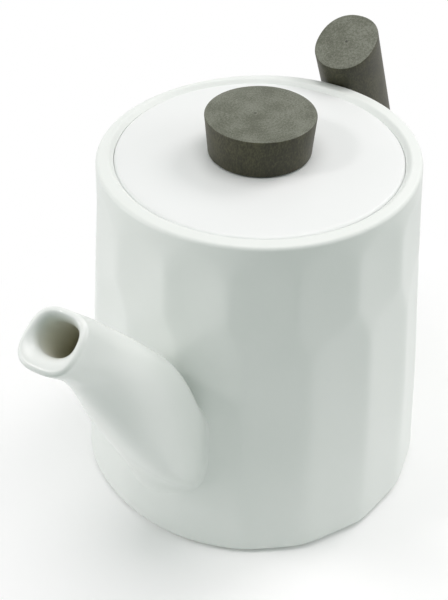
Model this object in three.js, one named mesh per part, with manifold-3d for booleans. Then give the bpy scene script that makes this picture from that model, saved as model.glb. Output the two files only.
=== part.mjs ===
// Porcelain teapot with a knife-cut wall, an inset lid with a wooden knob, a squarish spout and a
// wooden grip that stands behind the pot in a porcelain socket.
// Millimetres, +Z up. The pot's axis is the Z axis, the spout points along +X, the grip stands on
// the -X side, and the flat unglazed underside lies in the plane z = 0.
import * as THREE from 'three';
import { mergeVertices } from 'three/addons/utils/BufferGeometryUtils.js';
import Module from 'manifold-3d';

const wasm = await Module();
wasm.setup();

// Clearances between pieces
const SEAM = 0.3; // between pieces that are luted, glued or screwed together
const LID_PLAY = 0.3; // under the lid's flange, above its seat
const SKIRT_PLAY = 1; // around the lid's skirt, inside the seat
const LID_GROOVE = 1.5; // the open groove around the lid
const SCREW_PLAY = 0.3; // around the knob's screw

// Pot
const POT_HEIGHT = 127;
const BASE_RADIUS = 62;
const RIM_RADIUS = 52.5;
const RIM_WIDTH = 4.7;
const WALL = 4;
const FLOOR = 5;
const FOOT_ROUND = 3;
const FLOOR_RADIUS = 50; // of the disc that is luted into the foot of the wall
const CORNER_ROUND = 5; // inside, between the floor and the wall

// Knife cuts around the wall, in two tiers that are turned by half a cut against each other
const CUTS = 16;
const CUT_DEPTH = 0.9;
const CUT_TURN = -2.5; // degrees, the middle of a lower cut against the spout's plane
const CUT_MARGIN = 3; // uncut wall below the rim's rounding
const UPPER_CUTS_FROM = 85;
const LOWER_CUTS_TO = 96;

// Lid seat inside the rim
const SEAT_DEPTH = 5.5;
const SEAT_WIDTH = 5.4;
const SEAT_EDGE = 2.5;

// Lid
const LID_EDGE = 4.2;
const LID_EDGE_ROUND = 1.6;
const LID_UNDER_BEVEL = 0.8;
const LID_RISE = 1.3;
const LID_THICKNESS = 4.6;
const SKIRT_WALL = 3;
const SKIRT_DEPTH = 10;

// Knob, its screw and washer
const KNOB_TOP_RADIUS = 17.8;
const KNOB_BASE_RADIUS = 16.6;
const KNOB_HEIGHT = 13.4;
const KNOB_EDGE = 0.5;
const SCREW_RADIUS = 2;
const SCREW_REACH = 9;
const SCREW_HEAD_RADIUS = 4.4;
const SCREW_HEAD_HEIGHT = 2.6;
const SCREW_BEVEL = 0.8;
const WASHER_RADIUS = 7;
const WASHER_THICKNESS = 1.6;

// Spout: four sections from the root to the mouth. Half sizes are across (along Y) and tall (in the
// plane of the spout), a tilt is the angle of the section's normal above the horizontal in degrees,
// and a bow is how far the section stands above the straight line from root to mouth.
const ROOT_HEIGHT = 49.8; // height of the middle of the spout's root
const ROOT_HALF_WIDTH = 13;
const ROOT_HALF_HEIGHT = 28.2;
const MIDDLE_PLACE = 0.4; // share of the way from root to mouth
const MIDDLE_BOW = 1.8;
const MIDDLE_TILT = 31;
const MIDDLE_HALF_WIDTH = 11.2;
const MIDDLE_HALF_HEIGHT = 15.8;
const NECK_PLACE = 0.8;
const NECK_BOW = 2.9;
const NECK_TILT = 53;
const NECK_HALF_WIDTH = 8.8;
const NECK_HALF_HEIGHT = 9.6;
const MOUTH_REACH = 111.5; // from the pot's axis to the middle of the mouth
const MOUTH_ABOVE_RIM = 0;
const MOUTH_TILT = 58;
const MOUTH_HALF_WIDTH = 9.1;
const MOUTH_HALF_HEIGHT = 9.5;
const SPOUT_WALL_AT_ROOT = 4;
const LIP_THICKNESS = 2.7;
const SPOUT_SQUARENESS = 2.9; // power of the rounded-square section

// Strainer: a pierced dome over the spout's passage, inside the pot
const STRAINER_HALF_WIDTH = 15;
const STRAINER_HALF_HEIGHT = 27;
const STRAINER_BULGE = 9;
const STRAINER_WALL = 2.4;
const STRAINER_HOLE_RADIUS = 1.6;
const STRAINER_HOLE_PITCH = 6.2;
const STRAINER_PIERCED = 0.72; // share of the dome, from its middle, that has holes
const PASSAGE_HALF_WIDTH = 9;
const PASSAGE_HALF_HEIGHT = 22;

// Grip: an oval rod that leans towards the pot as it rises
const GRIP_WIDTH = 20.6;
const GRIP_DEPTH = 24.8;
const GRIP_LEAN = 24.7; // degrees from the vertical
const GRIP_LENGTH = 68; // the bare rod above the socket
const GRIP_ABOVE_RIM = 12.7; // height of the middle of its end face above the rim
const GRIP_RIM_GAP = 1.7; // between the rod and the widest part of the rim
const GRIP_EDGE = 0.7;
const GRIP_OVAL_POWER = 2.2;
const TENON_RADIUS = 7;
const TENON_LENGTH = 20;
const TENON_PLAY = 2; // between the tenon's end and the bottom of its bore
const PEG_RADIUS = 2;

// Porcelain arm that carries the grip
const ARM_HEIGHT = 34; // height of its centre line where it leaves the wall
const ARM_BEND = 18;
const ARM_ROOT_HALF_WIDTH = 12.4;
const ARM_ROOT_HALF_HEIGHT = 15.5;
const ARM_WALL = 4;

// Fineness
const WALL_SIDES = CUTS * 4;
const TUBE_SIDES = 28;
const ROUND_SIDES = 48;
const SMALL_SIDES = 20;

const radians = THREE.MathUtils.degToRad;

// Materials
const porcelain = new THREE.MeshStandardMaterial({ color: 0xe3e8e3, roughness: 0.42, metalness: 0 });
const darkWood = new THREE.MeshStandardMaterial({ color: 0x57554a, roughness: 0.68, metalness: 0 });
const pegWood = new THREE.MeshStandardMaterial({ color: 0x8c7450, roughness: 0.6, metalness: 0 });
const brass = new THREE.MeshStandardMaterial({ color: 0xb9974f, roughness: 0.3, metalness: 1 });
const silicone = new THREE.MeshStandardMaterial({ color: 0xd8d6cf, roughness: 0.7, metalness: 0 });

// Solids

function toSolid(geometry) {
  const bare = geometry.index ? geometry.clone() : geometry;
  bare.deleteAttribute('normal');
  bare.deleteAttribute('uv');
  const merged = mergeVertices(bare, 1e-4);
  const vertProperties = new Float32Array(merged.attributes.position.array);
  const triVerts = new Uint32Array(merged.index.array);
  return new wasm.Manifold(new wasm.Mesh({ numProp: 3, vertProperties, triVerts }));
}

function toGeometry(solid) {
  const mesh = solid.getMesh();
  const geometry = new THREE.BufferGeometry();
  geometry.setAttribute('position', new THREE.BufferAttribute(new Float32Array(mesh.vertProperties), 3));
  geometry.setIndex(new THREE.BufferAttribute(new Uint32Array(mesh.triVerts), 1));
  geometry.computeVertexNormals();
  return geometry;
}

function cut(body, ...tools) {
  return tools.reduce((left, tool) => left.subtract(tool), body);
}

// A solid turned about Z from a closed profile of [radius, height] points
function turned(profile, sides = ROUND_SIDES) {
  const points = profile.map(([radius, height]) => new THREE.Vector2(radius, height));
  points.push(points[0].clone());
  const geometry = new THREE.LatheGeometry(points, sides);
  geometry.rotateX(Math.PI / 2);
  return toSolid(geometry);
}

// A closed solid skinned over rings of equally many points, with a fan at each end
function skinned(rings) {
  const sides = rings[0].length;
  const positions = rings.flat().flatMap((point) => [point.x, point.y, point.z]);
  const index = [];
  for (let level = 0; level + 1 < rings.length; level += 1) {
    for (let side = 0; side < sides; side += 1) {
      const next = (side + 1) % sides;
      const low = level * sides;
      const high = low + sides;
      index.push(low + side, low + next, high + next);
      index.push(low + side, high + next, high + side);
    }
  }
  const addEnd = (level, facesForward) => {
    const middle = new THREE.Vector3();
    rings[level].forEach((point) => middle.addScaledVector(point, 1 / sides));
    const apex = positions.length / 3;
    positions.push(middle.x, middle.y, middle.z);
    for (let side = 0; side < sides; side += 1) {
      const here = level * sides + side;
      const there = level * sides + ((side + 1) % sides);
      index.push(...(facesForward ? [here, there, apex] : [there, here, apex]));
    }
  };
  addEnd(0, false);
  addEnd(rings.length - 1, true);
  const geometry = new THREE.BufferGeometry();
  geometry.setAttribute('position', new THREE.Float32BufferAttribute(positions, 3));
  geometry.setIndex(index);
  return toSolid(geometry);
}

// A rounded-square or oval ring in the plane of Y and the direction at `tilt` degrees from vertical,
// tilted so that its normal rises from +X towards +Z as the tilt grows
function sectionRing(centre, tilt, halfWidth, halfHeight, power, sides = TUBE_SIDES) {
  const up = new THREE.Vector3(-Math.sin(radians(tilt)), 0, Math.cos(radians(tilt)));
  const across = new THREE.Vector3(0, 1, 0);
  const ring = [];
  for (let side = 0; side < sides; side += 1) {
    const angle = (2 * Math.PI * side) / sides;
    const cosine = Math.cos(angle);
    const sine = Math.sin(angle);
    const reach = (Math.abs(cosine) ** power + Math.abs(sine) ** power) ** (-1 / power);
    const point = centre.clone();
    point.addScaledVector(across, halfWidth * reach * cosine);
    point.addScaledVector(up, halfHeight * reach * sine);
    ring.push(point);
  }
  return ring;
}

// A round rod between two points
function rod(from, to, radius, sides = SMALL_SIDES) {
  const along = to.clone().sub(from);
  const geometry = new THREE.CylinderGeometry(radius, radius, along.length(), sides);
  const turn = new THREE.Quaternion().setFromUnitVectors(
    new THREE.Vector3(0, 1, 0),
    along.clone().normalize(),
  );
  geometry.applyQuaternion(turn);
  geometry.translate(...from.clone().addScaledVector(along, 0.5).toArray());
  return toSolid(geometry);
}

// Wall of the pot

const rimRound = RIM_WIDTH / 2;
const rimWidestHeight = POT_HEIGHT - rimRound;
const upperCutsTo = rimWidestHeight - CUT_MARGIN;

// Radius of the uncut cone at a height
function coneRadius(height) {
  const share = Math.min(height / rimWidestHeight, 1);
  return BASE_RADIUS + (RIM_RADIUS - BASE_RADIUS) * share;
}

// Depth of a cut along its height: full in its middle, run out in a round end of half its width
function cutDepth(height, from, to) {
  const halfWidth = coneRadius(height) * Math.sin(Math.PI / CUTS);
  const runIn = Math.min(height - from, to - height, halfWidth);
  if (runIn <= 0) {
    return 0;
  }
  return CUT_DEPTH * (1 - (1 - runIn / halfWidth) ** 2);
}

// Radius of the flat that a cut leaves, at an angle from the middle of the nearest cut
function flatRadius(angle, height, depth, turn) {
  const pitch = (2 * Math.PI) / CUTS;
  const offMiddle = angle - turn - pitch * Math.round((angle - turn) / pitch);
  return (coneRadius(height) - depth) / Math.cos(offMiddle);
}

function wallRadius(angle, height) {
  const halfPitch = Math.PI / CUTS;
  const upper = cutDepth(height, UPPER_CUTS_FROM, upperCutsTo);
  const lower = cutDepth(height, -BASE_RADIUS, LOWER_CUTS_TO);
  const turn = radians(CUT_TURN);
  const afterUpper = upper > 0 ? flatRadius(angle, height, upper, turn + halfPitch) : Infinity;
  const afterLower = lower > 0 ? flatRadius(angle, height, lower, turn) : Infinity;
  return Math.min(coneRadius(height), afterUpper, afterLower);
}

function wallRing(height, inset, growth) {
  const ring = [];
  for (let side = 0; side < WALL_SIDES; side += 1) {
    const angle = radians(CUT_TURN) + (2 * Math.PI * side) / WALL_SIDES;
    const radius = wallRadius(angle, height) - inset + growth;
    ring.push(new THREE.Vector3(radius * Math.cos(angle), radius * Math.sin(angle), height));
  }
  return ring;
}

// Heights of the wall's rings, closer together where the cuts run out
function wallLevels() {
  const runOut = RIM_RADIUS * Math.sin(Math.PI / CUTS);
  const stretches = [
    [UPPER_CUTS_FROM, 3],
    [LOWER_CUTS_TO, 5],
    [upperCutsTo - runOut, 1],
    [upperCutsTo, 4],
    [rimWidestHeight, 1],
  ];
  const levels = [FOOT_ROUND];
  for (const [to, steps] of stretches) {
    const from = levels[levels.length - 1];
    for (let step = 1; step <= steps; step += 1) {
      levels.push(from + ((to - from) * step) / steps);
    }
  }
  return levels;
}

// The pot's outside as a full solid, grown outwards by a clearance where other pieces meet it
function potOutside(growth = 0) {
  const rings = [];
  const footSteps = 3;
  for (let step = 0; step < footSteps; step += 1) {
    const angle = (step / footSteps) * (Math.PI / 2);
    const height = FOOT_ROUND * (1 - Math.cos(angle));
    rings.push(wallRing(height, FOOT_ROUND * (1 - Math.sin(angle)), growth));
  }
  wallLevels().forEach((height) => rings.push(wallRing(height, 0, growth)));
  const rimSteps = 4;
  for (let step = 1; step < rimSteps; step += 1) {
    const angle = (step / rimSteps) * (Math.PI / 2);
    const height = rimWidestHeight + rimRound * Math.sin(angle);
    rings.push(wallRing(height, rimRound * (1 - Math.cos(angle)), growth));
  }
  rings.push(wallRing(POT_HEIGHT, rimRound, growth));
  return skinned(rings);
}

const seatRadius = RIM_RADIUS - RIM_WIDTH;
const seatInnerRadius = seatRadius - SEAT_WIDTH;
const seatHeight = POT_HEIGHT - SEAT_DEPTH;

function innerRadius(height) {
  return coneRadius(height) - CUT_DEPTH - WALL;
}

// The pot's inside with the lid's seat, as a solid to cut away
function potInside() {
  const profile = [[0, FLOOR]];
  const cornerSteps = 5;
  for (let step = 0; step <= cornerSteps; step += 1) {
    const angle = (step / cornerSteps) * (Math.PI / 2);
    const height = FLOOR + CORNER_ROUND * (1 - Math.cos(angle));
    profile.push([innerRadius(height) - CORNER_ROUND * (1 - Math.sin(angle)), height]);
  }
  const ledgeUnderside = seatHeight - SEAT_EDGE;
  const ledgeSlope = innerRadius(ledgeUnderside) - seatInnerRadius;
  profile.push([innerRadius(ledgeUnderside - ledgeSlope), ledgeUnderside - ledgeSlope]);
  profile.push([seatInnerRadius, ledgeUnderside]);
  profile.push([seatInnerRadius, seatHeight]);
  profile.push([seatRadius, seatHeight]);
  profile.push([seatRadius, rimWidestHeight]);
  const rimSteps = 3;
  for (let step = 1; step <= rimSteps; step += 1) {
    const angle = (step / rimSteps) * (Math.PI / 2);
    const radius = seatRadius + rimRound * (1 - Math.cos(angle));
    profile.push([radius, rimWidestHeight + rimRound * Math.sin(angle)]);
  }
  profile.push([seatRadius + rimRound, POT_HEIGHT + 1]);
  profile.push([0, POT_HEIGHT + 1]);
  return turned(profile, WALL_SIDES);
}

// Spout

const rootCentre = new THREE.Vector3(coneRadius(ROOT_HEIGHT), 0, ROOT_HEIGHT);
const mouthCentre = new THREE.Vector3(MOUTH_REACH, 0, POT_HEIGHT + MOUTH_ABOVE_RIM);

// A point at a share of the way from root to mouth, raised by a bow
function onSpout(place, bow) {
  const along = mouthCentre.clone().sub(rootCentre);
  const above = new THREE.Vector3(-along.z, 0, along.x).normalize();
  return rootCentre.clone().addScaledVector(along, place).addScaledVector(above, bow);
}

// The spout's sections, thinned by its wall for the bore
function spoutStations(thin) {
  const station = (place, bow, tilt, halfWidth, halfHeight) => {
    const wall = thin ? THREE.MathUtils.lerp(SPOUT_WALL_AT_ROOT, LIP_THICKNESS, place) : 0;
    // Tilt, half-width and half-height travel together as one vector, to be curved together
    const size = new THREE.Vector3(tilt, halfWidth - wall, halfHeight - wall);
    return { centre: onSpout(place, bow), size };
  };
  return [
    station(0, 0, 0, ROOT_HALF_WIDTH, ROOT_HALF_HEIGHT),
    station(MIDDLE_PLACE, MIDDLE_BOW, MIDDLE_TILT, MIDDLE_HALF_WIDTH, MIDDLE_HALF_HEIGHT),
    station(NECK_PLACE, NECK_BOW, NECK_TILT, NECK_HALF_WIDTH, NECK_HALF_HEIGHT),
    station(1, 0, MOUTH_TILT, MOUTH_HALF_WIDTH, MOUTH_HALF_HEIGHT),
  ];
}

// The spout's outside, or its bore, from inside the pot's wall to the mouth
function spoutSkin(thin) {
  const stations = spoutStations(thin);
  const centres = new THREE.CatmullRomCurve3(stations.map(({ centre }) => centre));
  const sizes = new THREE.CatmullRomCurve3(stations.map(({ size }) => size));
  const ringOf = (centre, size) => sectionRing(centre, size.x, size.y, size.z, SPOUT_SQUARENESS);
  const insideWall = new THREE.Vector3(-3 * WALL, 0, 0); // past the pot's curve at the root's sides
  const rings = [ringOf(rootCentre.clone().add(insideWall), sizes.getPoint(0))];
  const steps = 12;
  for (let step = 0; step <= steps; step += 1) {
    rings.push(ringOf(centres.getPoint(step / steps), sizes.getPoint(step / steps)));
  }
  if (thin) {
    const beyond = centres.getTangent(1).multiplyScalar(LIP_THICKNESS);
    rings.push(ringOf(mouthCentre.clone().add(beyond), sizes.getPoint(1)));
  }
  return skinned(rings);
}

function spout() {
  return cut(spoutSkin(false), spoutSkin(true), potOutside(SEAM));
}

// The way from the pot into the spout, as a straight tool through the wall
function spoutPassage() {
  const wallMiddle = rootCentre.x - CUT_DEPTH - WALL / 2;
  const rings = [wallMiddle - 3 * WALL, wallMiddle + 3 * WALL].map((x) => {
    const end = new THREE.Vector3(x, 0, ROOT_HEIGHT);
    return sectionRing(end, 0, PASSAGE_HALF_WIDTH, PASSAGE_HALF_HEIGHT, SPOUT_SQUARENESS);
  });
  return skinned(rings);
}

function floorDisc(radius, low, high) {
  return turned([[0, low], [radius, low], [radius, high], [0, high]], WALL_SIDES);
}

function potFloor() {
  return floorDisc(FLOOR_RADIUS, 0, FLOOR);
}

function potBody() {
  const floorSeat = floorDisc(FLOOR_RADIUS + SEAM, -1, FLOOR + 1);
  return cut(potOutside(), potInside(), floorSeat, spoutPassage());
}

// Strainer

const strainerSeat = innerRadius(ROOT_HEIGHT) - SEAM;

function dome(halfWidth, halfHeight, bulge) {
  const geometry = new THREE.SphereGeometry(1, 24, 14);
  geometry.scale(bulge, halfWidth, halfHeight);
  geometry.translate(strainerSeat, 0, ROOT_HEIGHT);
  return toSolid(geometry);
}

// The pot's inside, drawn in by the seam, that the strainer is trimmed to
function strainerSpace() {
  const low = ROOT_HEIGHT - STRAINER_HALF_HEIGHT - 1;
  const high = ROOT_HEIGHT + STRAINER_HALF_HEIGHT + 1;
  const edge = (height) => innerRadius(height) * Math.cos(Math.PI / WALL_SIDES) - SEAM;
  return turned([[0, low], [edge(low), low], [edge(high), high], [0, high]], WALL_SIDES);
}

function strainerHoles() {
  const holes = [];
  const rows = Math.floor(STRAINER_HALF_HEIGHT / STRAINER_HOLE_PITCH);
  const columns = Math.floor(STRAINER_HALF_WIDTH / STRAINER_HOLE_PITCH);
  for (let row = -rows; row <= rows; row += 1) {
    for (let column = -columns; column <= columns; column += 1) {
      const y = (column + (row % 2 === 0 ? 0 : 0.5)) * STRAINER_HOLE_PITCH;
      const z = row * STRAINER_HOLE_PITCH * Math.sin(Math.PI / 3);
      const offMiddle = Math.hypot(y / STRAINER_HALF_WIDTH, z / STRAINER_HALF_HEIGHT);
      if (offMiddle < STRAINER_PIERCED) {
        const from = new THREE.Vector3(strainerSeat - 2 * STRAINER_BULGE, y, ROOT_HEIGHT + z);
        const to = new THREE.Vector3(strainerSeat + STRAINER_WALL, y, ROOT_HEIGHT + z);
        holes.push(rod(from, to, STRAINER_HOLE_RADIUS, 8));
      }
    }
  }
  return holes;
}

function strainer() {
  const outer = dome(STRAINER_HALF_WIDTH, STRAINER_HALF_HEIGHT, STRAINER_BULGE);
  const inner = dome(
    STRAINER_HALF_WIDTH - STRAINER_WALL,
    STRAINER_HALF_HEIGHT - STRAINER_WALL,
    STRAINER_BULGE - STRAINER_WALL,
  );
  return cut(outer, inner, ...strainerHoles()).intersect(strainerSpace());
}

// Lid, knob, screw and washer

const lidRadius = seatRadius - LID_GROOVE;
const lidUnderFlange = seatHeight + LID_PLAY;
const lidEdgeTop = lidUnderFlange + LID_EDGE;
const lidTop = lidEdgeTop + LID_RISE;
const lidUnderside = lidTop - LID_THICKNESS;
const skirtRadius = seatInnerRadius - SKIRT_PLAY;
const skirtBottom = seatHeight - SKIRT_DEPTH;
const knobBase = lidTop + SEAM;
const washerTop = lidUnderside - SEAM;
const screwHeadTop = washerTop - WASHER_THICKNESS - SEAM;
const screwTip = knobBase + SCREW_REACH;

function lid() {
  const profile = [];
  const hole = SCREW_RADIUS + 2 * SCREW_PLAY;
  profile.push([hole, lidUnderside]);
  profile.push([skirtRadius - SKIRT_WALL, lidUnderside]);
  profile.push([skirtRadius - SKIRT_WALL, skirtBottom + LID_UNDER_BEVEL]);
  profile.push([skirtRadius - SKIRT_WALL + LID_UNDER_BEVEL, skirtBottom]);
  profile.push([skirtRadius - LID_UNDER_BEVEL, skirtBottom]);
  profile.push([skirtRadius, skirtBottom + LID_UNDER_BEVEL]);
  profile.push([skirtRadius, lidUnderFlange]);
  profile.push([lidRadius - LID_UNDER_BEVEL, lidUnderFlange]);
  profile.push([lidRadius, lidUnderFlange + LID_UNDER_BEVEL]);
  const edgeSteps = 3;
  for (let step = 0; step <= edgeSteps; step += 1) {
    const angle = (step / edgeSteps) * (Math.PI / 2);
    const radius = lidRadius - LID_EDGE_ROUND * (1 - Math.cos(angle));
    profile.push([radius, lidEdgeTop - LID_EDGE_ROUND * (1 - Math.sin(angle))]);
  }
  const domeSteps = 4;
  const domeFrom = lidRadius - LID_EDGE_ROUND;
  for (let step = 1; step <= domeSteps; step += 1) {
    const share = step / domeSteps;
    const radius = THREE.MathUtils.lerp(domeFrom, KNOB_BASE_RADIUS, share);
    profile.push([radius, lidEdgeTop + LID_RISE * (1 - (1 - share) ** 2)]);
  }
  profile.push([hole, lidTop]);
  return turned(profile);
}

function lidKnob() {
  const top = knobBase + KNOB_HEIGHT;
  const hole = SCREW_RADIUS + SCREW_PLAY;
  const holeTop = screwTip + SCREW_PLAY;
  return turned([
    [hole, knobBase],
    [KNOB_BASE_RADIUS - KNOB_EDGE, knobBase],
    [KNOB_BASE_RADIUS, knobBase + KNOB_EDGE],
    [KNOB_TOP_RADIUS, top - KNOB_EDGE],
    [KNOB_TOP_RADIUS - KNOB_EDGE, top],
    [0, top],
    [0, holeTop],
    [hole, holeTop],
  ]);
}

function knobScrew() {
  const headBottom = screwHeadTop - SCREW_HEAD_HEIGHT;
  return turned([
    [0, headBottom],
    [SCREW_HEAD_RADIUS - 2 * SCREW_BEVEL, headBottom],
    [SCREW_HEAD_RADIUS, headBottom + SCREW_BEVEL],
    [SCREW_HEAD_RADIUS, screwHeadTop],
    [SCREW_RADIUS, screwHeadTop],
    [SCREW_RADIUS, screwTip - SCREW_BEVEL],
    [SCREW_RADIUS - SCREW_BEVEL, screwTip],
    [0, screwTip],
  ], SMALL_SIDES);
}

function knobWasher() {
  const hole = SCREW_RADIUS + SCREW_PLAY;
  return turned([
    [hole, washerTop - WASHER_THICKNESS],
    [WASHER_RADIUS, washerTop - WASHER_THICKNESS],
    [WASHER_RADIUS, washerTop],
    [hole, washerTop],
  ], SMALL_SIDES);
}

// Grip, peg and the arm that carries them

const gripDown = new THREE.Vector3(-Math.sin(radians(GRIP_LEAN)), 0, -Math.cos(radians(GRIP_LEAN)));
const gripEnd = gripEndCentre();

// The middle of the grip's end face, from its clearance at the rim and its rise above it
function gripEndCentre() {
  const halfDepthAcross = GRIP_DEPTH / 2 / Math.cos(radians(GRIP_LEAN));
  const axisAtRim = -(RIM_RADIUS + GRIP_RIM_GAP + halfDepthAcross);
  const rise = GRIP_ABOVE_RIM + rimRound;
  const x = axisAtRim + rise * Math.tan(radians(GRIP_LEAN));
  return new THREE.Vector3(x, 0, POT_HEIGHT + GRIP_ABOVE_RIM);
}

function onGrip(distance) {
  return gripEnd.clone().addScaledVector(gripDown, distance);
}

// The tilt that lays a section square to a direction in the XZ plane
function squareTo(direction) {
  return THREE.MathUtils.radToDeg(Math.atan2(direction.z, direction.x));
}

function gripRod() {
  const ringAt = (distance, inset) =>
    sectionRing(
      onGrip(distance),
      squareTo(gripDown),
      GRIP_WIDTH / 2 - inset,
      GRIP_DEPTH / 2 - inset,
      GRIP_OVAL_POWER,
      ROUND_SIDES,
    );
  const bare = skinned([
    ringAt(0, GRIP_EDGE),
    ringAt(GRIP_EDGE, 0),
    ringAt(GRIP_LENGTH - GRIP_EDGE, 0),
    ringAt(GRIP_LENGTH, GRIP_EDGE),
  ]);
  const tenon = rod(onGrip(GRIP_LENGTH - WALL), onGrip(GRIP_LENGTH + TENON_LENGTH), TENON_RADIUS, 24);
  return cut(bare.add(tenon), pegHole(PEG_RADIUS + SEAM));
}

function pegHole(radius) {
  const middle = onGrip(GRIP_LENGTH + TENON_LENGTH / 2);
  const reach = new THREE.Vector3(0, GRIP_WIDTH, 0);
  return rod(middle.clone().sub(reach), middle.clone().add(reach), radius, 16);
}

function gripPeg() {
  const middle = onGrip(GRIP_LENGTH + TENON_LENGTH / 2);
  const reach = new THREE.Vector3(0, GRIP_WIDTH / 2 - SEAM, 0);
  return rod(middle.clone().sub(reach), middle.clone().add(reach), PEG_RADIUS, 16);
}

// Centre line of the arm, from the pot's axis out, round the bend and up the grip's axis
function armStations() {
  const turn = Math.PI / 2 + radians(GRIP_LEAN);
  const bendEndHeight = ARM_HEIGHT + ARM_BEND * (1 - Math.cos(turn));
  const distance = (gripEnd.z - bendEndHeight) / -gripDown.z;
  const bendEnd = onGrip(distance);
  const bendCentreX = bendEnd.x + ARM_BEND * Math.sin(turn);
  const wallX = -coneRadius(ARM_HEIGHT);
  const stations = [];
  const add = (x, z, heading, share) => stations.push({ x, z, heading, share });
  add(wallX + 2 * WALL, ARM_HEIGHT, Math.PI, 0);
  add(wallX, ARM_HEIGHT, Math.PI, 0);
  const steps = 9;
  for (let step = 0; step <= steps; step += 1) {
    const angle = (turn * step) / steps;
    const x = bendCentreX - ARM_BEND * Math.sin(angle);
    const z = ARM_HEIGHT + ARM_BEND * (1 - Math.cos(angle));
    add(x, z, Math.PI - angle, 0.25 + (0.75 * step) / steps);
  }
  return stations;
}

function armSkin(inset, topDistance) {
  const ringAt = (centre, heading, share) =>
    sectionRing(
      centre,
      THREE.MathUtils.radToDeg(heading),
      THREE.MathUtils.lerp(ARM_ROOT_HALF_WIDTH, GRIP_WIDTH / 2, share) - inset,
      THREE.MathUtils.lerp(ARM_ROOT_HALF_HEIGHT, GRIP_DEPTH / 2, share) - inset,
      GRIP_OVAL_POWER,
    );
  const rings = armStations().map(({ x, z, heading, share }) =>
    ringAt(new THREE.Vector3(x, 0, z), heading, share));
  const upHeading = Math.PI / 2 - radians(GRIP_LEAN);
  rings.push(ringAt(onGrip(topDistance), upHeading, 1));
  return skinned(rings);
}

function gripArm() {
  const outside = armSkin(0, GRIP_LENGTH + SEAM);
  const boreEnd = GRIP_LENGTH + TENON_LENGTH + TENON_PLAY;
  const hollow = armSkin(ARM_WALL, boreEnd - 2 * TENON_PLAY);
  const bore = rod(onGrip(GRIP_LENGTH - WALL), onGrip(boreEnd), TENON_RADIUS + SEAM, 24);
  return cut(outside, hollow, bore, pegHole(PEG_RADIUS + SEAM), potOutside(SEAM));
}

// Assembly

const pieces = [
  ['pot_body', potBody(), porcelain],
  ['pot_floor', potFloor(), porcelain],
  ['spout', spout(), porcelain],
  ['strainer', strainer(), porcelain],
  ['grip_arm', gripArm(), porcelain],
  ['grip_rod', gripRod(), darkWood],
  ['grip_peg', gripPeg(), pegWood],
  ['lid', lid(), porcelain],
  ['lid_knob', lidKnob(), darkWood],
  ['knob_washer', knobWasher(), silicone],
  ['knob_screw', knobScrew(), brass],
];

const teapot = new THREE.Group();
for (const [name, solid, material] of pieces) {
  const mesh = new THREE.Mesh(toGeometry(solid), material);
  mesh.name = name;
  teapot.add(mesh);
}

export default teapot;
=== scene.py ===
"""Porcelain teapot with a knife-cut wall, an inset lid with a wooden knob, a squarish spout and a
wooden grip behind it. Metres, +Z up, the spout along +X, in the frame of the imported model."""
import math

import bpy
import numpy as np
from mathutils import Matrix, Vector


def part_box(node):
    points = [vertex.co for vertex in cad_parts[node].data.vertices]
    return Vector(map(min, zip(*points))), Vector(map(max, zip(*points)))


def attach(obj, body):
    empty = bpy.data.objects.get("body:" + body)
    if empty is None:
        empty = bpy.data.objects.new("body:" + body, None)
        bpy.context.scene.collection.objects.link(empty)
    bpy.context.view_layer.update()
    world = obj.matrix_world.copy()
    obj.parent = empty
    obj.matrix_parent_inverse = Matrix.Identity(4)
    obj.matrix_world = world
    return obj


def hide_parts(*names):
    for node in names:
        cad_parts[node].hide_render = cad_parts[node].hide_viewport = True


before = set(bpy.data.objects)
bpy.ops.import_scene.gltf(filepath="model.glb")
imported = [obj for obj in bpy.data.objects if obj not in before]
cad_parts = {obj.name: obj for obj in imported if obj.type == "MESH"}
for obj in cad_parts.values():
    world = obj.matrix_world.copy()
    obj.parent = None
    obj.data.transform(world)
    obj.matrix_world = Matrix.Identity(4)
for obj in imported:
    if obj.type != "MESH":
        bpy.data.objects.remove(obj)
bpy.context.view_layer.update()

MM = 0.001

# Sizes read from the frame
body_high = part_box("pot_body")[1]
lid_low, lid_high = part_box("lid")
knob_low, knob_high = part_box("lid_knob")

# Pot
POT_HEIGHT = body_high.z
CUT_TAKEN = 0.65 * MM  # what the cuts take off the cone where the foot is widest
BASE_RADIUS = body_high.y + CUT_TAKEN  # of the uncut cone, at the foot
RIM_RADIUS = 52.9 * MM
WALL = 4 * MM
FLOOR = 5 * MM
FOOT_ROUND = 4 * MM
FLOOR_ROUND = 5 * MM  # between wall and floor, inside
RIM_WIDTH = 4.7 * MM
RIM_OUTER_ROUND = 1.5 * MM
RIM_INNER_ROUND = 1.2 * MM
RIM_FALL = 0.5 * MM  # how much lower the rim is at its outer edge than at its crest
RIM_FLAT = 4 * MM  # the rim's bright top, before it slopes down to the lid
GROOVE_DEPTH = 1.6 * MM  # the slope down to the lid's edge
GROOVE_EDGE = 0.2 * MM
SEAT_DEPTH = 5.5 * MM
SEAT_WIDTH = 5.4 * MM
SEAT_THICKNESS = 2.5 * MM
SEAT_CORNER = 0.5 * MM
SEAT_TOP_ROUND = 0.8 * MM
SEAT_UNDER_ROUND = 1 * MM
SEAT_ROOT_ROUND = 4 * MM  # where the underside of the seat meets the wall
JOINT_SINK = 3 * MM  # how far the spout and the arm reach into the wall

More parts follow.
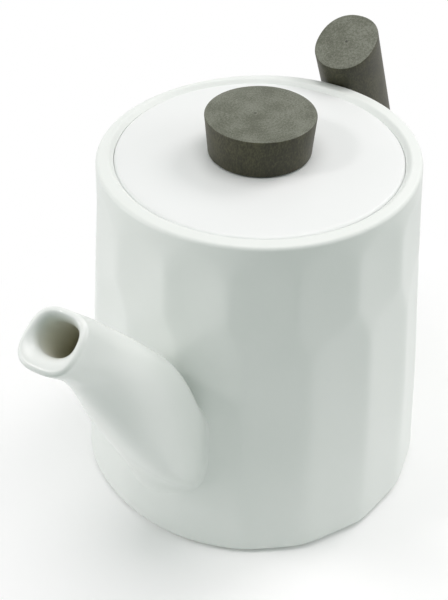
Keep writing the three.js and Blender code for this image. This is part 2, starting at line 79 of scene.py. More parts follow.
# Cuts in the wall
CUTS = 16
CUT_DEPTH = 0.9 * MM
CUT_MARGIN = 3 * MM  # between the upper cuts and the rim's widest height
UPPER_CUTS_FROM = 85 * MM
LOWER_CUTS_TO = 96 * MM
UPPER_CUT_TURN = math.radians(8.5)
LOWER_CUT_TURN = math.radians(-8.5)
CUT_SCOOP = 0.22 * MM  # how hollow a cut is across its width
CUT_WANDER = math.radians(0.9)  # how far the hand set a cut off its even place
CUT_END_WANDER = 1.6 * MM  # and its ends off their even heights
CUT_DEPTH_WANDER = 0.12  # and its depth off the even one, as a share of it
RIDGE_SOFTNESS = 0.22 * MM  # how soft the ridges between the cuts are, near the rim
FOOT_SOFTNESS = 0.7 * MM  # and near the foot
SOFT_RIDGE_RISE = 0.4  # share of that extra softness by which the wall comes out again

# Unevenness of the wall, with angles about Z from +X
FOOT_LEVEL = 5 * MM  # up to this height the foot's own look is full
FOOT_LEVEL_END = 55 * MM  # and above this one it is gone
FOOT_WORN = 0.85  # how far the ridges below the spout are rubbed away at the foot
WORN_SIDE = math.radians(-20)
WORN_FULLY = math.radians(30)  # up to this angle from that side
WORN_END = math.radians(65)  # and beyond this one not at all
FOOT_FLATTER = 1.2 * MM  # how far the wall lies inside its circle in front, at the foot
FLATTER_SIDE = math.radians(35)
FLATTER_FULLY = 0.7  # up to the angle from that side that has this cosine
RIM_OUT_OF_ROUND = 1.5 * MM  # how far the wall leaves its circle, at the back of the rim
LOBE_SIDE = math.radians(117.5)  # where a flatter side goes over into a bulge
ROUND_SIDE = math.radians(28.5)  # where the wall keeps to its circle
SLOW_WAVE = 0.05 * MM
SLOW_WAVES = ((3, 60, 0), (5, -85, 1))  # waves around, their turn per metre of height, and phase
SLOW_WAVE_FADE = 10 * MM  # how far below the rim the slow waves die away

# Lid
LID_SPREAD = 0.9 * MM  # how much wider the lid is than the plain solid
LID_GAP = 0.08 * MM
LID_SEAT_GAP = 0.3 * MM  # between the flange and its seat
LID_THICKNESS = 4.6 * MM
LID_EDGE_RISE = 1.3 * MM  # from the crown's edge to its middle
LID_EDGE_ROUND = 1.3 * MM
CROWN_POWER = 4  # the higher, the longer the lid stays level before it falls to its edge
CROWN_SHARES = (0.92, 0.8, 0.65, 0.5, 0.3)
FLANGE_ROUND = 0.8 * MM
SKIRT_GAP = 1 * MM  # between the skirt and the seat's inner edge
SKIRT_WALL = 3 * MM
SKIRT_ROUND = 1.2 * MM
SKIRT_ROOT_ROUND = 1.5 * MM
KNOB_SPREAD = 0.25 * MM
KNOB_TAPER = 1.2 * MM  # how much smaller the knob's radius is at its base
KNOB_BEVEL = 0.45 * MM

# Spout
ROOT_HEIGHT = 49.8 * MM
MOUTH_REACH = 111.5 * MM
# The sections from root to mouth: place on the straight line between them, how far they bow above
# it in mm, tilt in degrees, half-width and half-height in mm, and squareness
SPOUT_SECTIONS = (
    (0, 0, 0, 13.7, 24.8, 3.1),
    (0.4, 1.8, 31, 12.7, 15.8, 2.6),
    (0.8, 2.9, 53, 8.8, 9.6, 2.1),
    (1, 0, 58, 9.1, 9.5, 2.9),
)
SPOUT_WALL_AT_ROOT = 6.5 * MM
LIP_THICKNESS = 2.7 * MM
MOUTH_BORE_HALF_WIDTH = 6.3  # mm, as the sections of the spout are
MOUTH_BORE_HALF_HEIGHT = 4.9
MOUTH_BORE_RISE = 1.3 * MM  # the bore sits high in the mouth, so that the lower lip is broad
MOUTH_BORE_SQUARENESS = 2.2
MOUTH_FUNNEL = 5 * MM  # depth of the lip's soft run into the bore
BORE_SINK = 5 * MM  # how far the bore reaches into the wall
FILLET_TOP = 1 * MM  # radius of the joint between spout and wall, at the top of the root
FILLET_BOTTOM = 12 * MM  # how far the joint spreads over the wall, below the root
FILLET_REACH = 38 * MM  # how far out along the spout it begins there
CRISP_SIDE = (0, 0.9, 0.44)  # the side of the root where the joint has its top radius
CRISP_END = 0.05  # cosine of an angle to the opposite side, up to which it still has that radius
LEAST_SINK = 0.2 * MM  # how far the spout's root goes on inwards at the least
PASSAGE_HALF_WIDTH = 7 * MM
PASSAGE_HALF_HEIGHT = 15 * MM
PASSAGE_SQUARENESS = 2.9
PASSAGE_CUT_REACH = 12 * MM  # of the tool that cuts it, on each side of the wall's middle

# Grip
GRIP_WIDTH = 21 * MM
GRIP_DEPTH = 24.8 * MM
GRIP_LEAN = math.radians(24.7)
GRIP_LENGTH = 68 * MM
GRIP_END = Vector((-60.93, 0, 139.7)) * MM  # middle of the end face
GRIP_EDGE = 0.5 * MM
GRIP_OVAL_POWER = 2.2
TENON_RADIUS = 7 * MM
TENON_LENGTH = 20 * MM
TENON_EDGE = 1 * MM
PEG_HOLE_RADIUS = 2.3 * MM

# Arm under the grip
ARM_HEIGHT = 34 * MM
ARM_BEND = 18 * MM
ARM_ROOT_HALF_WIDTH = 12.4 * MM
ARM_ROOT_HALF_HEIGHT = 15.5 * MM
ARM_ROOT_FLARE = 1 * MM  # how much further the arm spreads where it meets the wall
ARM_BEND_SHARE = 0.25  # how far it has gone from root size to grip size where the bend starts
SOCKET_GAP = 0.3 * MM  # between the arm's end and the grip's shoulder
SOCKET_EDGE = 1.2 * MM

# Strainer
STRAINER_HALF_WIDTH = 15 * MM
STRAINER_HALF_HEIGHT = 27 * MM
STRAINER_BULGE = 9 * MM
STRAINER_WALL = 2.4 * MM
STRAINER_POLE = 0.02  # angle of the dome's first ring off its pole
STRAINER_SINK = 0.1  # angle by which its last ring is past a right angle, into the wall
STRAINER_HOLE_RADIUS = 1.6 * MM
STRAINER_HOLE_PITCH = 6.2 * MM
STRAINER_PIERCED = 0.72  # share of the dome, from its middle, that has holes

# How fine the meshes are
WALL_SIDES = 384
WALL_STEP = 1.2 * MM
FOOT_SHARES = (0.85, 0.5, 0.2)  # rings under the foot, as shares of the way to its middle
FLOOR_LAST_RING = 10 * MM  # radius of the last ring on the inside's floor
LID_SIDES = 192
KNOB_SIDES = 160
SPOUT_SIDES = 96
SPOUT_RINGS = 110
SPOUT_CROWDING = 1.5  # above 1, the rings crowd together near the root
SUNK_RINGS = 24
BORE_RINGS = 60
FUNNEL_STEPS = 17
NEAR_ROOT = 0.01  # share of the spout over which its direction at the root is taken
PASSAGE_SIDES = 64
GRIP_SIDES = 160
GRIP_END_SHARES = (0.3, 0.15, 0.06)  # rings on the grip's end, as shares of its depth
GRIP_RINGS = 24
ARM_SIDES = 96
ARM_STEPS = 32
STRAINER_SIDES = 72
STRAINER_RINGS = 24
STRAINER_HOLE_SIDES = 20
PEG_HOLE_SIDES = 32
FLOOR_SIDES = 96
EDGE_STEPS = 9  # rings over a rounded edge, with both its ends
SMALL_EDGE_STEPS = 5
CORNER_STEPS = 8  # steps over a rounded corner of a profile
KNOB_CORNER_STEPS = 4
ON_THE_END = 0.8  # a face is on a piece's end if its normal's share along the piece is higher
SHARP_EDGE = math.radians(50)  # edges sharper than this stay sharp after a cut

# Finishes
GLAZE = ((0.812, 0.842, 0.817), (0.792, 0.827, 0.798))
LID_GLAZE = ((0.824, 0.843, 0.837), (0.814, 0.835, 0.827))
BARE_CLAY = ((0.60, 0.57, 0.52), (0.72, 0.70, 0.65))
GLAZED_ROUGHNESS = 0.45
BARE_ROUGHNESS = 0.85
GLAZE_LINE = -0.2 * MM  # the lowest height of the glaze's edge
GLAZE_LINE_WANDER = 1.4 * MM  # how far the edge can rise from there
# Painted shade for the depth of the spout's bore, with a tea tint, both growing inwards from the lip
PALE_STAIN_AND_SHADE = (0.80, 0.81, 0.73)
DEEP_STAIN_AND_SHADE = (0.755, 0.73, 0.56)
STAIN_AND_SHADE_REACH = 24 * MM
COAT_ROUGHNESS = 0.08
SPECKLE_RELIEF = 0.1 * MM
SPOUT_SHINE = {"roughness": 0.3, "grain": 0.02, "coat": 0.3}
# The wood's end faces are lighter than its sides: partly the cut end grain, partly painted light on the
# ends and painted shade on the sides
END_GRAIN_AND_PAINTED_LIGHT = ((0.069, 0.074, 0.050), (0.103, 0.112, 0.080), (0.170, 0.179, 0.143))
SIDE_GRAIN_AND_PAINTED_SHADE = ((0.017, 0.017, 0.006), (0.031, 0.030, 0.012), (0.061, 0.059, 0.028))
SIDE_LOOK = {"ring_strength": 0, "sheen": 0.42}
END_LOOK = {"ring_strength": 0.03, "sheen": 0.4}
WOOD_ROUGHNESS = 0.5
FIBRES = {"scale": 1900, "detail": 4, "roughness": 0.65, "stretch": (1, 1, 0.5)}
PATCHES = {"scale": 160, "detail": 3, "roughness": 0.5, "stretch": (1, 1, 0.7)}
PATCH_SHARE = 0.35  # of the wood's tone, against that of its fibres
YEAR_RINGS = {"Scale": 190, "Distortion": 2.5, "Detail": 2, "Detail Scale": 0.6}
HEARTWOOD = ((0.02, 0.02, 0.014), (0.05, 0.05, 0.036))
KNOB_PITH = (0.86 * MM, -1.58 * MM)
PITH_RADIUS = 0.45 * MM
GRAIN_RELIEF = 0.12 * MM
PLAIN_RELIEF = 0.05 * MM
PLAIN_DARKEST = 0.85  # the darkest tone of a plain finish, as a share of its colour
BAMBOO = (0.42, 0.29, 0.14)
BRASS = (0.7, 0.52, 0.24)
SILICONE = (0.72, 0.7, 0.65)

# Stage
ROOM_LIGHT = 0.26
ROOM_COLOUR = (0.80, 1, 0.90)
FLOOR_COLOUR = (0.97, 0.975, 0.975)
FLOOR_GLOW = 0.1  # how much of the floor's white near the pot is its own
FLOOR_REACH = 0.38
FLOOR_GLOW_FROM = 0.2  # share of its reach where it begins to turn into plain white
FLOOR_GLOW_TO = 0.4  # and where it is plain white
FLOOR_SHIFT = 12 * MM  # how far the middle of the shaded floor lies to the right of the pot
LAMP_COLOUR = (1, 0.935, 0.954)
LAMP_AIM = (0, 0, 0.06)
# Each lamp: name, place as seen by the camera (right, towards it, up), size and power in watts
LAMPS = (
    ("above", (0, 0, 1.3), 1.0, 7.6),
    ("left", (-1.2, 0, 0.5), 0.9, 1.7),
    ("left_low", (-1.25, 0.2, 0.15), 0.6, 3.4),
    ("left_high", (-0.9, 0.3, 1.0), 0.2, 2.6),
    ("right", (1.2, 0, 0.5), 0.9, 4.3),
    ("right_high", (0.75, -0.6, 1.0), 0.6, 5.0),
)

# Camera
CAMERA_PLACE = Vector((310.68, 168.68, 345.28)) * MM
CAMERA_AIM = Vector((5.51, -9.44, 65.33)) * MM
CAMERA_ROLL = math.radians(0.73)
CAMERA_CLIP = 10 * MM
FOCAL_PIXELS = 1275.2
PHOTO_HEIGHT = 600
SENSOR = 36


def smooth_step(value, low, high):
    share = np.clip((value - low) / (high - low), 0, 1)
    return share * share * (3 - 2 * share)


def full_turn(sides):
    return np.linspace(0, 2 * math.pi, sides, endpoint=False)


def quarter_turn(steps):
    return np.linspace(0, math.pi / 2, steps)


# Meshes


def mesh_object(name, points, faces):
    mesh = bpy.data.meshes.new(name)
    mesh.from_pydata(points, [], faces)
    mesh.validate()
    piece = bpy.data.objects.new(name, mesh)
    bpy.context.scene.collection.objects.link(piece)
    mesh.shade_smooth()
    return piece


def ring_faces(levels, sides, closed):
    """Faces from each ring to the next, and also from the last to the first if closed."""
    faces = []
    for level in range(levels if closed else levels - 1):
        low = level * sides
        high = (level + 1) % levels * sides
        for side in range(sides):
            after = (side + 1) % sides
            faces.append((low + side, low + after, high + after, high + side))
    return faces


def looped(name, rings):
    """A mesh over rings that closes from the last ring back to the first."""
    rings = np.asarray(rings, float)
    levels, sides = rings.shape[:2]
    return mesh_object(name, rings.reshape(-1, 3).tolist(), ring_faces(levels, sides, True))


def skinned(name, rings):
    """A closed mesh over rings of equally many points, with a fan at each end."""
    rings = np.asarray(rings, float)
    levels, sides = rings.shape[:2]
    points = rings.reshape(-1, 3).tolist()
    faces = ring_faces(levels, sides, False)
    for level, forward in ((0, False), (levels - 1, True)):
        apex = len(points)
        points.append(rings[level].mean(0).tolist())
        for side in range(sides):
            here = level * sides + side
            there = level * sides + (side + 1) % sides
            faces.append((here, there, apex) if forward else (there, here, apex))
    return mesh_object(name, points, faces)


def rounded(corners, steps):
    """A profile through (radius, height, rounding) corners, with each corner rounded by an arc."""
    flat = [np.array(corner[:2], float) for corner in corners]
    profile = []
    for index, (radius, height, rounding) in enumerate(corners):
        here = flat[index]
        if rounding <= 0 or index in (0, len(corners) - 1):
            profile.append(here)
            continue
        back = flat[index - 1] - here
        ahead = flat[index + 1] - here
        back /= np.linalg.norm(back)
        ahead /= np.linalg.norm(ahead)
        half = math.acos(np.clip(back @ ahead, -1, 1)) / 2
        reach = rounding / math.tan(half)
        middle = (back + ahead) / np.linalg.norm(back + ahead)
        centre = here + middle * rounding / math.sin(half)
        start = here + back * reach - centre
        end = here + ahead * reach - centre
        swing = math.acos(np.clip(start @ end / rounding**2, -1, 1))
        for step in range(steps + 1):
            share = step / steps
            arm = (math.sin((1 - share) * swing) * start + math.sin(share * swing) * end) / math.sin(swing)
            profile.append(centre + arm)
    return profile


def turned(name, profile, sides):
    """A mesh turned about Z from a profile that starts and ends on the axis."""
    angles = full_turn(sides)
    circle = np.stack([np.cos(angles), np.sin(angles), np.zeros(sides)], 1)
    return skinned(name, [radius * circle + np.array([0, 0, height]) for radius, height in profile[1:-1]])


def section_ring(centre, tilt, half_width, half_height, power, sides):
    """A rounded-square or oval ring whose normal rises from +X towards +Z as the tilt grows."""
    angles = full_turn(sides)
    cosine, sine = np.cos(angles), np.sin(angles)
    reach = (np.abs(cosine) ** power + np.abs(sine) ** power) ** (-1 / power)
    up = np.array([-math.sin(tilt), 0, math.cos(tilt)])
    across = np.array([0, 1, 0])
    wide = np.outer(half_width * reach * cosine, across)
    tall = np.outer(half_height * reach * sine, up)
    return np.array(centre) + wide + tall


def curve_point(stations, share):
    """A point on the centripetal Catmull-Rom curve through the stations."""
    points = np.asarray(stations, float)
    points = np.vstack([2 * points[0] - points[1], points, 2 * points[-1] - points[-2]])
    spans = len(points) - 3
    place = min(share * spans, spans - 1e-9)
    span = int(place)
    along = place - span
    before, start, end, after = points[span : span + 4]
    steps = [np.linalg.norm(b - a) ** 0.5 for a, b in ((before, start), (start, end), (end, after))]
    leave = (start - before) / steps[0] - (end - before) / (steps[0] + steps[1]) + (end - start) / steps[1]
    arrive = (end - start) / steps[1] - (after - start) / (steps[1] + steps[2]) + (after - end) / steps[2]
    leave *= steps[1]
    arrive *= steps[1]
    square = -3 * start + 3 * end - 2 * leave - arrive
    cube = 2 * start - 2 * end + leave + arrive
    return start + leave * along + square * along**2 + cube * along**3


def cut_away(piece, cutter):
    """Cuts the cutter out of the piece and deletes the cutter."""
    modifier = piece.modifiers.new("cut", "BOOLEAN")
    modifier.operation = "DIFFERENCE"
    modifier.solver = "EXACT"
    modifier.object = cutter
    bpy.context.view_layer.update()
    evaluated = piece.evaluated_get(bpy.context.evaluated_depsgraph_get())
    result = bpy.data.meshes.new_from_object(evaluated)
    piece.modifiers.clear()
    piece.data = result
    result.shade_smooth()
    result.set_sharp_from_angle(angle=SHARP_EDGE)
    bpy.data.objects.remove(cutter)


# Pot wall

rim_widest_height = POT_HEIGHT - RIM_WIDTH / 2
seat_inner_radius = RIM_RADIUS - RIM_WIDTH - SEAT_WIDTH
seat_height = POT_HEIGHT - SEAT_DEPTH
lid_radius = lid_high.x + LID_SPREAD


def cone_radius(height):
    share = np.minimum(height / rim_widest_height, 1)
    return BASE_RADIUS + (RIM_RADIUS - BASE_RADIUS) * share


def hand(seed, number):
    """A hand's unevenness for a cut, between -1 and 1 and the same in each run. The four factors
    only have to scatter it."""
    return np.sin(12.9898 * number + 78.233 * seed) * np.cos(4.1414 * number + 9.17 * seed)


def cut_surfaces(angle, height, low, high, turn, seed):
    """Radii left by the three nearest cuts of a tier, or beyond the cone above and below the cuts."""
    pitch = 2 * math.pi / CUTS
    nearest = np.round((angle - turn) / pitch)
    cone = cone_radius(height)
    half_width = cone * math.sin(pitch / 2)
    surfaces = []
    for beside in (-1, 0, 1):
        number = (nearest + beside) % CUTS
        off = angle - turn - (nearest + beside) * pitch - CUT_WANDER * hand(seed + 3, number)
        start = low + CUT_END_WANDER * hand(seed, number)
        end = high + CUT_END_WANDER * hand(seed + 1, number)
        run_in = np.clip(np.minimum(height - start, end - height), 0, half_width)
        depth = CUT_DEPTH * (1 + CUT_DEPTH_WANDER * hand(seed + 2, number))
        depth = depth * (1 - (1 - run_in / half_width) ** 2)
        scoop = CUT_SCOOP * np.clip(1 - (2 * off / pitch) ** 2, 0, 1) * depth / CUT_DEPTH
        left = (cone - depth) / np.cos(off) - scoop
        surfaces.append(np.where(run_in > 0, left, cone + BASE_RADIUS))
    return surfaces


def near_foot(height):
    return 1 - smooth_step(height, FOOT_LEVEL, FOOT_LEVEL_END)


def worn(angle, height):
    """How far the ridges are rubbed away: most of all at the foot, below and beside the spout."""
    off_side = np.abs((angle - WORN_SIDE + math.pi) % (2 * math.pi) - math.pi)
    return FOOT_WORN * near_foot(height) * (1 - smooth_step(off_side, WORN_FULLY, WORN_END))


def out_of_round(angle, height):
    """The wall bulges behind on the grip's side and is flatter beside it, more so towards the rim."""
    lobes = np.sin(2 * (angle - LOBE_SIDE))
    behind = (1 - np.cos(angle - ROUND_SIDE)) / 2
    at_rim = RIM_OUT_OF_ROUND * lobes * behind * smooth_step(height, POT_HEIGHT / 2, POT_HEIGHT)
    in_front = smooth_step(np.cos(angle - FLATTER_SIDE), 0, FLATTER_FULLY)
    return at_rim - FOOT_FLATTER * in_front * near_foot(height)


def wall_radius(angle, height):
    """Radius of the cut wall, with soft ridges between the cuts."""
    angle, height = np.broadcast_arrays(np.asarray(angle, float), np.asarray(height, float))
    upper_to = rim_widest_height - CUT_MARGIN
    surfaces = [cone_radius(height)]
    surfaces += cut_surfaces(angle, height, UPPER_CUTS_FROM, upper_to, UPPER_CUT_TURN, seed=1)
    surfaces += cut_surfaces(angle, height, -BASE_RADIUS, LOWER_CUTS_TO, LOWER_CUT_TURN, seed=5)
    least = np.minimum.reduce(surfaces)
    softness = RIDGE_SOFTNESS + (FOOT_SOFTNESS - RIDGE_SOFTNESS) * near_foot(height)
    total = sum(np.exp(-(surface - least) / softness) for surface in surfaces)
    soft = least - softness * np.log(total) + SOFT_RIDGE_RISE * (softness - RIDGE_SOFTNESS)
    smooth = cone_radius(height) - CUT_DEPTH / 2
    soft += (smooth - soft) * worn(angle, height)
    uneven = sum(np.sin(waves * angle + turn * height + phase) for waves, turn, phase in SLOW_WAVES)
    uneven = SLOW_WAVE * uneven * smooth_step(rim_widest_height - height, 0, SLOW_WAVE_FADE)
    return soft + uneven + out_of_round(angle, height)


def around(radius, height):
    """A ring at one height from a radius for each side."""
    angles = full_turn(WALL_SIDES)
    radius = radius + 0 * angles
    return np.stack([radius * np.cos(angles), radius * np.sin(angles), height + 0 * angles], 1)


def wall_ring(height, inset):
    angles = full_turn(WALL_SIDES)
    return around(wall_radius(angles, height) - inset, height)


def inner_radius(height):
    return cone_radius(height) - CUT_DEPTH - WALL


def outside_rings():
    rings = [wall_ring(0, BASE_RADIUS * share) for share in FOOT_SHARES]
    for angle in quarter_turn(EDGE_STEPS):
        rings.append(wall_ring(FOOT_ROUND * (1 - math.cos(angle)), FOOT_ROUND * (1 - math.sin(angle))))
    rounding_from = POT_HEIGHT - RIM_FALL - RIM_OUTER_ROUND
    levels = np.arange(FOOT_ROUND + WALL_STEP, rounding_from, WALL_STEP)
    rings += [wall_ring(level, 0) for level in levels]
    for angle in quarter_turn(EDGE_STEPS):
        height = rounding_from + RIM_OUTER_ROUND * math.sin(angle)
        rings.append(wall_ring(height, RIM_OUTER_ROUND * (1 - math.cos(angle))))
    return rings


def inside_rings():
    groove_radius = RIM_RADIUS - RIM_FLAT
    lid_hole = lid_radius + LID_GAP
    seat_underside = seat_height - SEAT_THICKNESS
    slope = inner_radius(seat_underside) - seat_inner_radius
    corners = [
        (RIM_RADIUS - RIM_OUTER_ROUND, POT_HEIGHT - RIM_FALL, 0),
        (groove_radius, POT_HEIGHT, RIM_INNER_ROUND),
        (lid_hole, POT_HEIGHT - GROOVE_DEPTH, GROOVE_EDGE),
        (lid_hole, seat_height, SEAT_CORNER),
        (seat_inner_radius, seat_height, SEAT_TOP_ROUND),
        (seat_inner_radius, seat_underside, SEAT_UNDER_ROUND),
        (inner_radius(seat_underside - slope), seat_underside - slope, SEAT_ROOT_ROUND),
        (inner_radius(FLOOR), FLOOR, FLOOR_ROUND),
        (FLOOR_LAST_RING, FLOOR, 0),
    ]
    profile = rounded(corners, CORNER_STEPS)[1:]
    return [around(radius, height) for radius, height in profile]


def passage_cutter():
    middle = inner_radius(ROOT_HEIGHT) + WALL / 2
    halves = (PASSAGE_HALF_WIDTH, PASSAGE_HALF_HEIGHT)
    rings = []
    for x in (middle - PASSAGE_CUT_REACH, middle + PASSAGE_CUT_REACH):
        rings.append(section_ring((x, 0, ROOT_HEIGHT), 0, *halves, PASSAGE_SQUARENESS, PASSAGE_SIDES))
    return skinned("passage_cutter", rings)


def make_pot_wall():
    wall = skinned("pot_wall", outside_rings() + inside_rings())
    cut_away(wall, passage_cutter())
    return wall


# Spout

root_centre = np.array([cone_radius(ROOT_HEIGHT), 0, ROOT_HEIGHT])
mouth_centre = np.array([MOUTH_REACH, 0, POT_HEIGHT])


def spout_stations(bore):
    """Sections from root to mouth, of the outside or the bore: their middles, and their tilts,
    half-widths, half-heights and squareness."""
    along = mouth_centre - root_centre
    above = np.array([-along[2], 0, along[0]]) / np.linalg.norm(along)
    centres = []
    sizes = []
    for place, bow, tilt, half_width, half_height, squareness in SPOUT_SECTIONS:
        wall = SPOUT_WALL_AT_ROOT + (LIP_THICKNESS - SPOUT_WALL_AT_ROOT) * place if bore else 0
        centre = root_centre + along * place + above * bow * MM
        half_width -= wall / MM
        half_height -= wall / MM
        if bore and place == 1:
            lean = math.radians(tilt)
            up = np.array([-math.sin(lean), 0, math.cos(lean)])
            centre = centre + up * MOUTH_BORE_RISE
            half_width = MOUTH_BORE_HALF_WIDTH
            half_height = MOUTH_BORE_HALF_HEIGHT
            squareness = MOUTH_BORE_SQUARENESS
        centres.append(centre)
        sizes.append((tilt, half_width, half_height, squareness))
    return centres, sizes


def spout_normal(stations, share):
    tilt = math.radians(curve_point(stations[1], share)[0])
    return np.array([math.cos(tilt), 0, math.sin(tilt)])


def spout_ring(stations, share):
    centres, sizes = stations
    tilt, half_width, half_height, squareness = curve_point(sizes, share)
    halves = (half_width * MM, half_height * MM)
    return section_ring(curve_point(centres, share), math.radians(tilt), *halves, squareness, SPOUT_SIDES)


def wall_gap(points):
    """How far points lie outside the pot's wall, and their directions away from the pot's axis."""
    radius = np.hypot(points[:, 0], points[:, 1])
    gap = radius - wall_radius(np.arctan2(points[:, 1], points[:, 0]), points[:, 2])
    away = np.stack([points[:, 0] / radius, points[:, 1] / radius, 0 * radius], 1)
    return gap, away


def filleted(ring, centre):
    """Widens a ring near the wall, so that it runs into the wall in a hollow fillet."""
    outward = ring - centre
    outward /= np.linalg.norm(outward, axis=1)[:, None]
    gap = wall_gap(ring)[0]
    low = smooth_step(-outward @ np.array(CRISP_SIDE), CRISP_END, 1)
    width = FILLET_TOP + (FILLET_BOTTOM - FILLET_TOP) * low
    reach = FILLET_TOP + (FILLET_REACH - FILLET_TOP) * low
    near = np.clip(1 - np.clip(gap, 0, None) / reach, 0, 1)
    spread = width * (1 - np.sqrt(1 - near**2))
    widened = ring + outward * spread[:, None]
    new_gap, away = wall_gap(widened)
    return widened + away * ((gap - new_gap) * (spread > 0))[:, None]


def lip_rings(outer, inner, lip_share, funnel_share):
    """Rings over the lip: a small rounding outside, and a wide one that runs into the bore."""
    outside = spout_ring(outer, lip_share)
    bore = spout_ring(inner, funnel_share)
    normal = spout_normal(outer, lip_share)
    inward = bore - outside
    inward -= np.outer(inward @ normal, normal)
    inward /= np.linalg.norm(inward, axis=1)[:, None]
    rings = []
    for angle in quarter_turn(EDGE_STEPS)[1:]:
        turned_in = inward * (1 - math.cos(angle)) + normal * math.sin(angle)
        rings.append(outside + turned_in * LIP_THICKNESS / 2)
    crest = rings[-1]
    down = np.outer((crest - bore) @ normal, normal)
    across = bore - crest + down
    for angle in quarter_turn(FUNNEL_STEPS)[1:-1]:
        rings.append(crest + across * math.sin(angle) - down * (1 - math.cos(angle)))
    return rings


def make_spout():
    outer = spout_stations(bore=False)
    inner = spout_stations(bore=True)
    rings = []
    root = spout_ring(outer, 0)
    inwards = root - spout_ring(outer, NEAR_ROOT)
    inwards /= -inwards[:, :1]
    depth = np.clip(wall_gap(root)[0] + JOINT_SINK, LEAST_SINK, None)[:, None]
    for share in np.linspace(1, 0, SUNK_RINGS)[:-1]:
        rings.append(filleted(root + inwards * depth * share, root_centre))
    length = np.linalg.norm(mouth_centre - root_centre)
    lip_share = 1 - LIP_THICKNESS / 2 / length
    for share in np.linspace(0, 1, SPOUT_RINGS) ** SPOUT_CROWDING * lip_share:
        rings.append(filleted(spout_ring(outer, share), curve_point(outer[0], share)))
    bore_from = len(rings) + EDGE_STEPS - 1
    funnel_share = lip_share - MOUTH_FUNNEL / length
    rings += lip_rings(outer, inner, lip_share, funnel_share)
    for share in np.linspace(funnel_share, 0, BORE_RINGS):
        rings.append(spout_ring(inner, share))
    rings.append(spout_ring(inner, 0) - np.array([BORE_SINK, 0, 0]))
    spout = looped("spout_shell", rings)
    for face in spout.data.polygons:
        face.material_index = 1 if face.index >= bore_from * SPOUT_SIDES else 0
    return spout


# Lid


def make_lid():
    edge_top = lid_high.z - LID_EDGE_RISE
    under_flange = seat_height + LID_SEAT_GAP
    underside = lid_high.z - LID_THICKNESS
    skirt_radius = seat_inner_radius - SKIRT_GAP
    skirt_inner = skirt_radius - SKIRT_WALL
    crown = [
        (lid_radius * share, edge_top + LID_EDGE_RISE * (1 - share**CROWN_POWER), 0)
        for share in CROWN_SHARES
    ]
    corners = [
        (0, underside, 0),
        (skirt_inner, underside, SKIRT_ROOT_ROUND),
        (skirt_inner, lid_low.z, SKIRT_ROUND),
        (skirt_radius, lid_low.z, SKIRT_ROUND),
        (skirt_radius, under_flange, FLANGE_ROUND),
        (lid_radius, under_flange, FLANGE_ROUND),
        (lid_radius, edge_top, LID_EDGE_ROUND),
        *crown,
        (0, lid_high.z, 0),
    ]
    return turned("lid_shell", rounded(corners, CORNER_STEPS), LID_SIDES)


def make_knob():
    top_radius = knob_high.x + KNOB_SPREAD
    corners = [
        (0, knob_low.z, 0),
        (top_radius - KNOB_TAPER, knob_low.z, KNOB_BEVEL),
        (top_radius, knob_high.z, KNOB_BEVEL),
        (0, knob_high.z, 0),
    ]
    knob = turned("knob_wood", rounded(corners, KNOB_CORNER_STEPS), KNOB_SIDES)
    return end_marked(knob, (0, 0, 1))


def end_marked(piece, direction):
    """Gives the faces that look in one direction the piece's second finish. On the wood that is the
    lighter end grain with painted light, against painted shade on the sides.
    """
    for face in piece.data.polygons:
        face.material_index = 1 if face.normal.dot(Vector(direction)) > ON_THE_END else 0
    return piece


# Grip and arm

grip_down = np.array([-math.sin(GRIP_LEAN), 0, -math.cos(GRIP_LEAN)])
grip_tilt = math.atan2(grip_down[2], grip_down[0])


def on_grip(distance):
    return np.array(GRIP_END) + grip_down * distance


def grip_halves(inset):
    return GRIP_WIDTH / 2 - inset, GRIP_DEPTH / 2 - inset


def grip_ring(distance, inset):
    return section_ring(on_grip(distance), grip_tilt, *grip_halves(inset), GRIP_OVAL_POWER, GRIP_SIDES)


def make_grip():
    rings = [grip_ring(0, GRIP_DEPTH * share) for share in GRIP_END_SHARES]
    for angle in quarter_turn(SMALL_EDGE_STEPS)[::-1]:
        rings.append(grip_ring(GRIP_EDGE * (1 - math.sin(angle)), GRIP_EDGE * (1 - math.cos(angle))))
    for distance in np.linspace(GRIP_EDGE, GRIP_LENGTH - GRIP_EDGE, GRIP_RINGS)[1:]:
        rings.append(grip_ring(distance, 0))
    rings.append(grip_ring(GRIP_LENGTH, GRIP_EDGE))
    for distance, radius in (
        (GRIP_LENGTH, TENON_RADIUS),
        (GRIP_LENGTH + TENON_LENGTH - TENON_EDGE, TENON_RADIUS),
        (GRIP_LENGTH + TENON_LENGTH, TENON_RADIUS - TENON_EDGE),
    ):
        rings.append(section_ring(on_grip(distance), grip_tilt, radius, radius, 2, GRIP_SIDES))
    return end_marked(skinned("grip_wood", rings), -grip_down)


def arm_ring(place, tilt, share, inset):
    """A ring of the arm, between its size at the root (share 0) and the grip's (share 1)."""
    wide = ARM_ROOT_HALF_WIDTH + (GRIP_WIDTH / 2 - ARM_ROOT_HALF_WIDTH) * share - inset
    tall = ARM_ROOT_HALF_HEIGHT + (GRIP_DEPTH / 2 - ARM_ROOT_HALF_HEIGHT) * share - inset
    return section_ring(place, tilt, wide, tall, GRIP_OVAL_POWER, ARM_SIDES)


